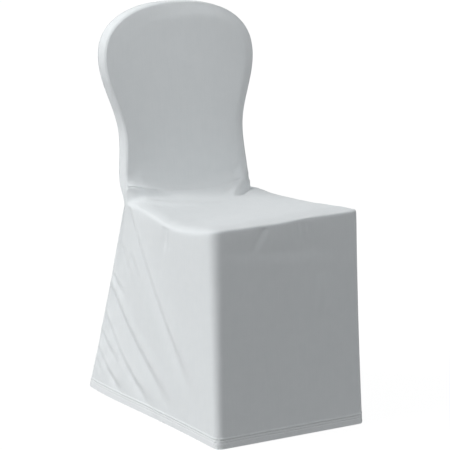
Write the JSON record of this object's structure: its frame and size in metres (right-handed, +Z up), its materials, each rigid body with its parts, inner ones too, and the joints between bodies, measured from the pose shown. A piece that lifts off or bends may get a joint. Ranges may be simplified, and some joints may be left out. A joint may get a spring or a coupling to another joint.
{
  "type": "chair cover",
  "caption": "Fitted stretch cover for a crown-back banquet chair: rounded boxed back, seat and floor-length falls, hollow and open at the hem.",
  "frame": {"origin": "on the floor, under the middle of the cover's outer box", "axes": "+Z up, -Y towards the front of the seat, +X to the viewer's right from the front"},
  "size_m": [0.407, 0.6041, 0.9165],
  "materials": {
    "knit_cloth": "matt white stretch knit with a faint cool cast"
  },
  "bodies": {
    "root": {"inside_back": "knit_cloth", "back_boxing": "knit_cloth", "seat_panel": "knit_cloth", "outside_back": "knit_cloth", "skirt_front": "knit_cloth", "skirt_left": "knit_cloth", "skirt_right": "knit_cloth"}
  },
  "joints": []
}
